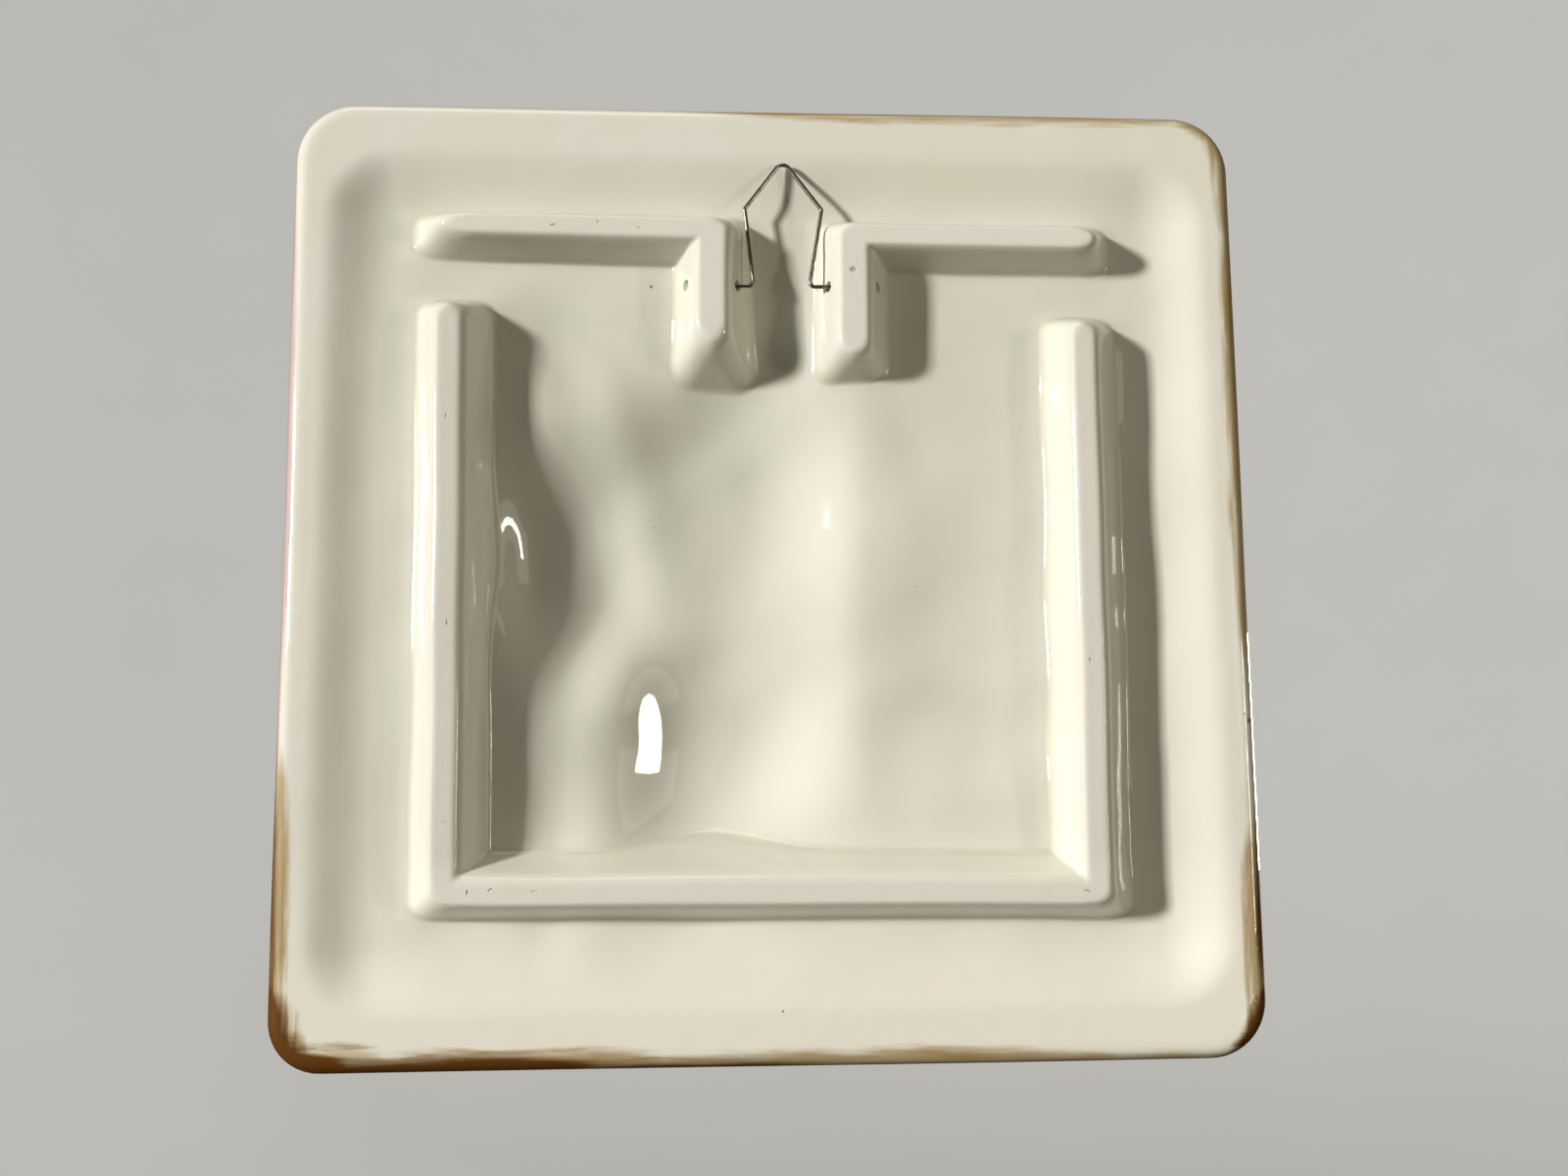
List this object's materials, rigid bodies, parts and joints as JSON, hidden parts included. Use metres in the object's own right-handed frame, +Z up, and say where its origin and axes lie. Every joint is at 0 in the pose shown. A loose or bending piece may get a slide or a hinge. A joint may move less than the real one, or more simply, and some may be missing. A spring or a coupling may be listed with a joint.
{
  "type": "wall trivet",
  "caption": "Square glazed ceramic wall trivet with a raised rib frame on its back and a bent wire loop that swings in the ribs to hang it on a nail.",
  "frame": {"origin": "underside of the wire hanger's top bend, where it bears on a nail, with the hanger at rest", "axes": "+Z up as hung; +Y out of the ribbed back, towards the wall; -Y out of the plain front"},
  "size_m": [0.2034, 0.0248, 0.2034],
  "materials": {
    "cream_glaze": "glossy cream glaze, wiped rib tops, brushed brown and ochre edge",
    "wire_steel": "dull drawn wire, slightly tarnished"
  },
  "bodies": {
    "plaque": {"glazed_plaque": "cream_glaze"},
    "hanger": {"wire_hanger": "wire_steel"}
  },
  "joints": [
    {"name": "hanger_swing", "type": "hinge", "parent": "plaque", "child": "hanger", "pos_m": [0, 0.00103, -0.02713], "axis": [-1, 0, 0], "range_deg": [0, 150]}
  ]
}
